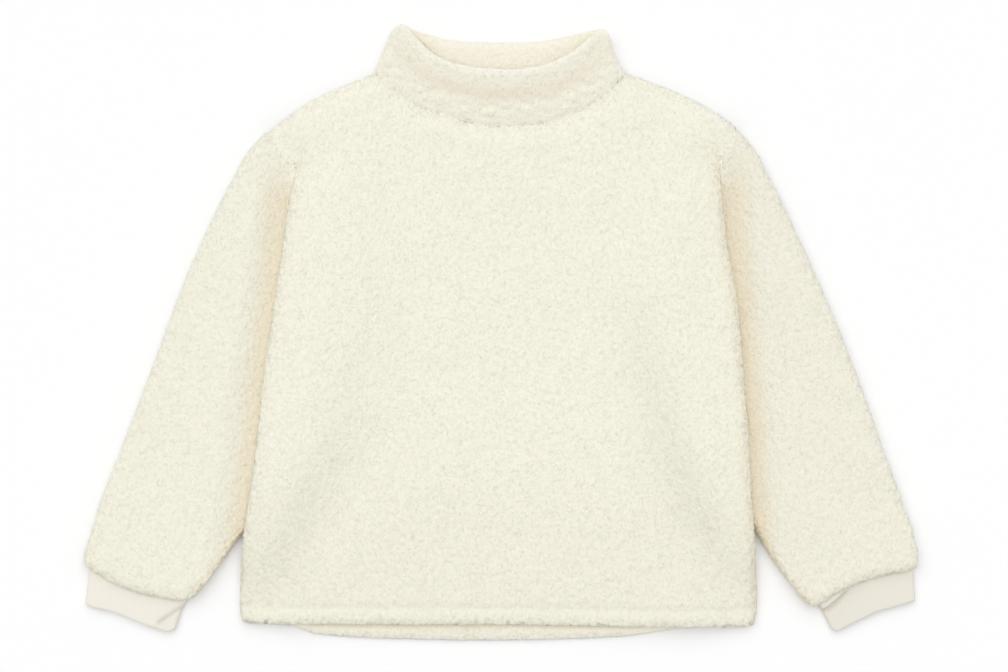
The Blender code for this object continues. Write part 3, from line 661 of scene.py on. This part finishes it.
# How far each row of the folded-in end closes up, and lies back inside the sleeve.
END_FOLD = ((0.6, 0.6), (1.6, 2.2), (2.2, 5.0), (2.2, 9.0))
SLEEVES = {
    "left": {
        "edge": EDGE_LEFT,
        "fold_shade": 1.0,
        "shade": (1.0, 1.0, 1.0),
        "shoulder": (-175.2, 149.2),
        "outer": (
            (-175.2, 149.2), (-182.6, 140.6), (-190.0, 132.1), (-195.9, 121.0), (-207.8, 98.7),
            (-228.6, 54.2), (-246.4, 9.6), (-262.7, -34.9), (-279.8, -79.4),
            (-297.2, -123.9), (-304.2, -146.2), (-310.6, -168.0),
        ),
        "inner": (
            (-151.4, 124.7), (-140.3, 98.7), (-126.9, 72.7), (-115.8, 24.5),
            (-126.9, -49.7), (-160.3, -101.7), (-189.4, -145.0), (-197.5, -155.2),
            (-207.5, -170.1), (-216.0, -181.4), (-222.5, -189.2),
        ),
        "wrist": (
            (-310.6, -168.0), (-308.6, -173.4), (-302.5, -178.0), (-286.4, -187.0),
            (-270.5, -193.2), (-247.4, -198.0), (-236.0, -198.9), (-229.0, -196.2),
            (-222.5, -189.2),
        ),
    },
    "right": {
        "edge": EDGE_RIGHT,
        "fold_shade": 1.15,
        "shade": (0.983, 0.981, 0.982),
        "shoulder": (176.0, 150.8),
        "outer": (
            (176.0, 150.8), (183.4, 142.4), (191.2, 132.1), (196.4, 121.0), (208.2, 98.7),
            (228.8, 54.2), (248.6, 9.6), (266.0, -34.9), (281.8, -79.4),
            (298.0, -123.9), (305.9, -146.2), (310.4, -168.5),
        ),
        "inner": (
            (161.8, 127.7), (152.2, 100.2), (140.3, 76.4), (128.4, 24.5),
            (140.3, -49.7), (165.5, -106.0), (190.2, -148.2), (197.0, -160.2),
            (206.5, -175.0), (216.5, -188.0), (225.6, -199.6),
        ),
        "wrist": (
            (310.4, -168.5), (309.4, -173.4), (304.3, -176.4), (279.1, -181.8), (264.2, -187.0),
            (249.4, -193.7), (237.3, -201.4), (231.6, -202.9), (225.6, -199.6),
        ),
    },
}


def ring_heights(upper, lower, radius):
    """One flattened ring per row: over the top, then back underneath.

    upper and lower are the plan and height of both layers, folded together
    along their two side edges.
    """
    layers = []
    for plan, level, other in (upper, lower):
        steps = np.linalg.norm(np.diff(plan, axis=1), axis=-1)
        run = np.concatenate([np.zeros((len(plan), 1)), np.cumsum(steps, axis=1)], axis=1)
        from_fold = np.minimum(run, run[:, -1:] - run)
        middle = (level + other) / 2.0
        height = middle + (level - middle) * quarter_round(from_fold, radius)
        layers.append(np.concatenate([plan, height[..., None]], axis=-1))
    return np.concatenate([layers[0], layers[1][:, ::-1], layers[0][:, :1]], axis=1)


def seen_side_out(points):
    """Rows and columns in the order that turns the faces outwards."""
    across = np.diff(points[..., :3], axis=1)[:-1]
    down = np.diff(points[..., :3], axis=0)[:, :-1]
    normal_z = np.cross(across, down)[..., 2]
    high = points[:-1, :-1, 2] > np.percentile(points[..., 2], 75)
    return points if normal_z[high].sum() > 0 else points[:, ::-1]


for side_name, cut in SLEEVES.items():
    edge, underarm = cut["edge"], cut["edge"][-1]
    seam = (cut["shoulder"], underarm)
    outer, inner, wrist = cut["outer"], cut["inner"], cut["wrist"]
    u, v = np.meshgrid(close_to_ends(200), np.linspace(0.0, 1.0, 420))
    plan = patch(
        lambda w: along(seam, w), lambda w: along(wrist, w),
        lambda w: along(outer, w), lambda w: along(inner, w), u, v,
    )
    x, y = plan[..., 0], plan[..., 1]
    edge_x = np.interp(y, [row[1] for row in edge], [row[0] for row in edge])
    outward = (edge_x - x) * np.sign(-underarm[0])
    outward = np.where(y > underarm[1], np.hypot(x - underarm[0], y - underarm[1]), outward)
    shown = soft_step((outward - RISE_START) / RISE_LENGTH)
    high = TUCKED_HEIGHT + (SLEEVE_OPEN_HEIGHT - TUCKED_HEIGHT) * shown
    high = high + 0.7 * waves(x, y, 60.0, 11 if side_name == "left" else 12) * shown
    from_wrist = to_lines(x, y, wrist)
    end_height = np.minimum(high, SLEEVE_WRIST_HEIGHT)
    high = end_height + (high - end_height) * quarter_round(from_wrist, WRIST_ROUND) - PILE_SINK
    armhole = nearest(x, y, seam)[0]
    ease = 1.0 - soft_step(armhole / ARMHOLE_EASE)
    high = high + (ARMHOLE_LEVEL - high) * ease
    low = np.full_like(high, PILE_SINK)
    rings = ring_heights((plan, high, low), (plan, low, high), SLEEVE_FOLD_RADIUS)
    # Painted shade, warm and dark, beside the body's edge, along the end and the low inner edge.
    length = FOLD_SHADE_LENGTH + (FOLD_SHADE_LENGTH_ABOVE - FOLD_SHADE_LENGTH) * soft_step(y / 110.0)
    painted_fold_shade = (1.0 - soft_step((outward - FOLD_SHADE_START) / length)) * (1.0 - ease)
    # Painted light lifts the shade just at the body's edge.
    contact = near(outward, 3.0) * (1.8 - 0.6 * ease)
    from_inner = to_lines(x, y, inner)
    low_edge = near(from_inner, 5.0) * soft_step((-110.0 - y) / 25.0)
    painted_fold_shade = painted_fold_shade * cut["fold_shade"] + 0.3 * near(from_wrist, 3.5) + 0.6 * low_edge
    outline = np.minimum(to_lines(x, y, outer), np.minimum(from_inner, from_wrist))
    # Painted light along the outline, lighter and bluer.
    edging = near(outline, 3.0) * (1.0 - np.clip(painted_fold_shade, 0.0, 1.0))
    shaggy = 1.0 + 0.8 * near(outline, 5.0)
    painted_fold_shade, contact, edging, shaggy = (
        np.concatenate([part, part[:, ::-1], part[:, :1]], axis=1)
        for part in (painted_fold_shade, contact, edging, shaggy)
    )
    shades = (painted_fold_shade, FOLD_SHADE_TINT), (contact, CONTACT_PAINTED_LIGHT), (edging, OUTLINE_PAINTED_LIGHT)
    rings = tinted(rings, (1.0, cut["shade"]), *shades, pile=shaggy)
    end = rings[-1:]
    centre = end.mean(axis=1, keepdims=True)
    folded = []
    for inward, back_up in END_FOLD:
        ring = end.copy()
        ring[..., 2] += np.clip(centre[..., 2] - ring[..., 2], -inward, inward)
        ring[..., :2] += (centre[..., :2] - ring[..., :2]) * inward * 0.02
        ring[..., 1] += back_up
        folded.append(ring)
    rings = np.concatenate([rings] + folded, axis=0)
    rings = seen_side_out(evenly(evenly(rings, PITCH, 1), PITCH, 0))
    sleeve = lay_cloth(f"sleeve_tube_{side_name}", rings, joined_across=True)
    grow_pile(sleeve, lined=True)
    sleeve.data.materials.append(fleece(f"sleeve_curly_pile_{side_name}", SLEEVE_CREAM, BODY_PIT_SHADE))
    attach(sleeve, "root")
    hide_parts(f"sleeve_{side_name}")

# Collar. A funnel of the same fleece, doubled and folded over at the rim, sewn
# to the neckline. Its front has slumped into two rolls with a trough between,
# and its rim lies lower than the back's, so that the inside of the back shows.
COLLAR_FOLD_RADIUS, COLLAR_INSET, COLLAR_WIDTH = 8.0, 9.0, 185.0
NECK_LAP, NECK_HALF, LAP_EASE = 2.4, 96.5, 8.0
COLLAR_LEFT = ((-94.3, 193.0), (-88.3, 207.8), (-83.6, 219.4), (-80.8, 224.4))
COLLAR_RIGHT = ((92.8, 193.0), (87.2, 201.6), (83.4, 210.0), (81.4, 217.4))
RIM_FRONT = (
    (-80.8, 224.4), (-78.2, 227.6), (-74.6, 228.9), (-70.6, 227.6), (-66.8, 223.6),
    (-60.0, 216.6), (-52.8, 209.2), (-40.0, 202.2), (-25.7, 198.4), (-11.4, 196.6),
    (3.0, 195.9), (17.3, 196.6), (31.6, 199.2), (45.9, 205.0), (57.4, 212.4),
    (64.5, 218.8), (69.4, 223.6), (74.0, 225.4), (78.4, 223.2), (81.4, 217.4),
)
RIM_BACK = (
    (-80.8, 224.4), (-78.2, 227.6), (-74.6, 228.9), (-70.6, 228.0), (-65.8, 225.6),
    (-52.8, 221.6), (-38.6, 218.2), (-22.8, 216.7), (3.0, 216.1), (28.7, 217.1),
    (45.9, 220.0), (60.3, 223.3), (68.8, 225.4), (74.0, 225.6), (78.4, 223.2),
    (81.4, 217.4),
)
COLLAR_PROFILE = (
    # share of the way from seam to rim, height of the front's top
    (0.0, 10.5), (0.05, 10.9), (0.1, 11.5), (0.18, 12.5), (0.3, 13.6), (0.42, 14.2),
    (0.5, 14.2), (0.57, 13.9), (0.63, 13.8), (0.69, 14.0), (0.75, 14.4), (0.81, 15.0),
    (0.9, 16.0), (1.0, 16.4),
)
COLLAR_BACK_PROFILE = ((0.0, 4.5), (0.3, 8.0), (1.0, 8.3))
COLLAR_CREAM = (0.905, 0.876, 0.745)
# Painted shade in the front's trough, at the seam's middle and in the inside's corners.
COLLAR_INSIDE_TINT, COLLAR_TROUGH_SHADE = (1.005, 0.986, 0.988), (0.895, 0.845, 0.82)
SEAM_SHADE, DEEP_SHADE = (0.945, 0.925, 0.92), (0.96, 0.95, 0.91)
DEEP_AT, DEEP_WIDTH = 62.0, 12.0


def collar_layer(neck, rim, u, v):
    lapped = [
        (at_x, at_y - NECK_LAP * min(1.0, (NECK_HALF - abs(at_x)) / LAP_EASE))
        for at_x, at_y in neck
    ]
    return patch(
        lambda w: along(lapped, w), lambda w: along(rim, w),
        lambda w: along(COLLAR_LEFT, w), lambda w: along(COLLAR_RIGHT, w), u, v,
    )


def collar_rings(u, v, lining):
    """Rings up the collar's outside, or up its inside where lining is true."""
    top = np.interp(v, *zip(*COLLAR_PROFILE)) - PILE_SINK
    floor = np.interp(v, *zip(*COLLAR_BACK_PROFILE))
    ceiling = floor + BODY_LOFT + 0.3 + PILE_SINK
    roll = np.sqrt(1.0 - np.clip((v - 0.84) / 0.16, 0.0, 1.0) ** 2)
    if not lining:
        place = collar_layer(NECK_FRONT, RIM_FRONT, u, v)
        crumpled = waves(place[..., 0], place[..., 1] * 3.4, 30.0, 21)
        crumpled = crumpled + waves(place[..., 0], place[..., 1] * 2.2, 14.0, 22)
        crumpled = crumpled + 0.5 * waves(place[..., 0], place[..., 1] * 1.3, 7.5, 23)
        top = top + 0.75 * crumpled * near(v - 0.33, 0.22)
    front_middle, back_middle = (top + ceiling) / 2.0, (floor + PILE_SINK) / 2.0
    top = front_middle + (top - front_middle) * roll
    ceiling = front_middle - (front_middle - ceiling) * roll
    floor = back_middle + (floor - back_middle) * roll
    bottom = back_middle - (back_middle - PILE_SINK) * roll
    high, low = (ceiling, floor) if lining else (top, bottom)
    margin = COLLAR_INSET / COLLAR_WIDTH * (roll if lining else 0.0 * roll)
    shares = margin + (1.0 - 2.0 * margin) * u
    front_layer = collar_layer(NECK_FRONT, RIM_FRONT, shares, v)
    back_layer = collar_layer(NECK_BACK, RIM_BACK, shares, v)
    radius = COLLAR_FOLD_RADIUS - 4.5 * (roll if lining else 0.0 * roll)
    return ring_heights((front_layer, high, low), (back_layer, low, high), radius)


u, v = np.meshgrid(close_to_ends(260), np.sin(np.linspace(0.0, math.pi / 2.0, 160)))
# Painted shade in trough, seam middle and inside corners; painted light along the sides and rim.
in_trough = near(v - 0.57, 0.14) * np.clip(np.sin(math.pi * u), 0.0, 1.0) ** 0.5
in_trough = np.concatenate([in_trough, 0.0 * in_trough, 0.0 * in_trough[:, :1]], axis=1)
at_seam = near(np.concatenate([v, v, v[:, :1]], axis=1), 0.1)
outside = collar_rings(u, v, lining=False)
at_side = to_lines(outside[..., 0], outside[..., 1], COLLAR_LEFT, COLLAR_RIGHT)
at_rim = near(1.0 - np.concatenate([v, v, v[:, :1]], axis=1), 0.12)
outside = tinted(
    outside, (in_trough, COLLAR_TROUGH_SHADE), (at_seam * near(outside[..., 0], 55.0), SEAM_SHADE),
    (np.maximum(near(at_side, 3.0), at_rim), OUTLINE_PAINTED_LIGHT), pile=0.85 + 0.7 * at_seam,
)
within = collar_rings(u, v, lining=True)
across = within[..., 0]
deep = near(across + DEEP_AT, DEEP_WIDTH) + 0.6 * near(across - DEEP_AT, DEEP_WIDTH)
within = tinted(within, (1.0, COLLAR_INSIDE_TINT), (deep, DEEP_SHADE), pile=0.5)
wall = np.concatenate([outside, within[::-1], outside[:1]], axis=0)
wall = seen_side_out(evenly(evenly(wall, PITCH, 0), PITCH, 1))
collar = lay_cloth("funnel_collar", wall, joined_across=True, joined_along=True)
grow_pile(collar, lined=False)
collar.data.materials.append(fleece("collar_curly_pile", COLLAR_CREAM, BODY_PIT_SHADE))
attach(collar, "root")
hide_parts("collar")

# Cuffs. Narrow bands of plain fine knit, doubled and folded at the lower edge,
# sewn inside the sleeve's end. Their inner corners have folded over.
CUFF_WALL, CUFF_FOLD_RADIUS, CUFF_PITCH = 1.9, 3.0, 0.9
CUFF_TUCK, CUFF_INSET, CUFF_WIDTH = 5.0, 2.8, 70.0
CUFF_CREAM = (0.84, 0.805, 0.725)
# Painted shade in the grooves between the knit's wales.
CUFF_GROOVE_SHADE = (0.805, 0.77, 0.685)
# Painted shade along each crease and behind it; painted light where the cuff leaves the sleeve.
CREASE_SHADE, BEHIND_CREASE_SHADE = (0.88, 0.86, 0.83), (0.94, 0.935, 0.93)
AT_SLEEVE_PAINTED_LIGHT = (1.06, 1.05, 1.04)
CUFFS = {
    "left": {
        "shares": (0.09, 0.88),
        "shade": (1.0, 1.0, 0.995),
        "lip": 0.0,
        "outer": (-309.6, -202.2),
        "inner": ((-238.2, -207.0), (-242.6, -220.4)),
        "end": (
            (-309.6, -202.2), (-302.2, -204.7), (-291.6, -206.9), (-279.2, -211.4),
            (-266.7, -216.7), (-255.3, -220.6), (-248.0, -222.4), (-242.6, -220.4),
        ),
        "crease": ((-254.4, -214.8), (-246.5, -209.2), (-240.7, -205.2), (-235.5, -202.7)),
    },
    "right": {
        "shares": (0.085, 0.9),
        "shade": (0.935, 0.94, 0.925),
        "lip": 1.2,
        "outer": (308.6, -199.4),
        "inner": ((239.8, -207.8), (246.2, -220.6)),
        "end": (
            (308.6, -199.4), (301.0, -201.6), (293.7, -203.8), (280.3, -207.6), (272.6, -211.4),
            (264.1, -215.2), (256.4, -219.1), (250.4, -222.2), (246.2, -220.6),
        ),
        "crease": (
            (238.6, -206.8), (243.4, -205.8), (247.6, -202.8), (251.8, -198.2), (256.0, -193.2),
        ),
    },
}


def plain_knit(name, cream, groove):
    """Fine plain knit: wales down the cuff with the stitches' V shapes, painted shade in grooves.
    """
    material = bpy.data.materials.new(name)
    material.use_nodes = True
    tree = material.node_tree
    shader = tree.nodes["Principled BSDF"]
    at = kept_on_cloth(tree, "cloth_at", "Vector")
    wales = at.node(
        "ShaderNodeTexWave", {"bands_direction": "X"},
        {"Vector": at, "Scale": 210.0, "Distortion": 0.6, "Detail": 1.0}, 1,
    )
    fuzz = at.node("ShaderNodeTexNoise", {}, {"Vector": at, "Scale": 1400.0, "Detail": 2.0}, 0)
    height = wales * 0.7 + fuzz * 0.3
    colour = at.node(
        "ShaderNodeMix", {"data_type": "RGBA"},
        {"Factor": height.spread(0.1, 0.6), 6: (*groove, 1.0), 7: (*cream, 1.0)}, 2,
    )
    colour = with_tint(tree, colour)
    bump = at.node(
        "ShaderNodeBump", {}, {"Height": height, "Distance": 0.0002, "Strength": 0.25}
    )
    tree.links.new(colour.output, shader.inputs["Base Color"])
    tree.links.new(bump.output, shader.inputs["Normal"])
    shader.inputs["Roughness"].default_value = 0.85
    shader.inputs["Specular IOR Level"].default_value = 0.2
    shader.inputs["Sheen Weight"].default_value = 0.15
    return material


def at_crease(x, y, crease):
    """Distance to a cuff's crease, and which places lie behind it."""
    (from_x, from_y), (to_x, to_y) = crease[0], crease[-1]
    behind = (to_x - from_x) * (y - from_y) < (to_y - from_y) * (x - from_x)
    return nearest(x, y, crease)[0], behind


for side_name, cut in CUFFS.items():
    wrist = SLEEVES[side_name]["wrist"]
    start = along(wrist, np.linspace(*cut["shares"], 13)) + np.array([0.0, CUFF_TUCK])
    start = [tuple(point) for point in start]
    end = cut["end"]
    u, v = np.meshgrid(close_to_ends(150), np.sin(np.linspace(0.0, math.pi / 2.0, 90)))
    rest = soft_step(v / 0.5)
    roll = np.sqrt(1.0 - np.clip((v - 0.94) / 0.06, 0.0, 1.0) ** 2)
    bottom, top = 1.9 * (1.0 - rest) + 0.1, 6.3 - 0.8 * rest
    faces = []
    for lining in (False, True):
        inset = CUFF_INSET / CUFF_WIDTH if lining else 0.0
        shares = inset + (1.0 - 2.0 * inset) * u
        plan = patch(
            lambda w: along(start, w), lambda w: along(end, w),
            lambda w: along((start[0], cut["outer"]), w),
            lambda w: along((start[-1],) + cut["inner"], w), shares, v,
        )
        x, y = plan[..., 0], plan[..., 1]
        crease, behind = at_crease(x, y, cut["crease"])
        sunk = 0.6 * near(crease, 2.0) + 0.7 * behind * np.exp(-crease / 6.0)
        sunk = sunk - cut["lip"] * (1.0 - behind) * near(crease - 2.6, 2.4)
        upper_middle, lower_middle = top - sunk - CUFF_WALL / 2.0, bottom + CUFF_WALL / 2.0
        half = CUFF_WALL / 2.0 * roll * (-1.0 if lining else 1.0)
        high, low = upper_middle + half, lower_middle - half
        radius = 1.2 if lining else CUFF_FOLD_RADIUS
        faces.append(ring_heights((plan, high, low), (plan, low, high), radius))
    wall = np.concatenate([faces[0], faces[1][::-1], faces[0][:1]], axis=0)
    x, y = wall[..., 0], wall[..., 1]
    # Painted light where the cuff leaves the sleeve; painted shade along the crease and behind it.
    crease, behind = at_crease(x, y, cut["crease"])
    at_sleeve = near(to_lines(x, y, wrist), 3.0)
    wall = tinted(
        wall, (1.0, cut["shade"]), (at_sleeve, AT_SLEEVE_PAINTED_LIGHT),
        (near(crease, 1.9), CREASE_SHADE),
        (behind * np.exp(-crease / 7.0), BEHIND_CREASE_SHADE), pile=0.0,
    )
    wall = seen_side_out(evenly(evenly(wall, CUFF_PITCH, 0), CUFF_PITCH, 1))
    cuff = lay_cloth(f"knit_cuff_{side_name}", wall, joined_across=True, joined_along=True)
    grow_pile(cuff, lined=False)
    cuff.data.materials.append(plain_knit(f"cuff_knit_{side_name}", CUFF_CREAM, CUFF_GROOVE_SHADE))
    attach(cuff, "root")
    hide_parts(f"cuff_{side_name}")
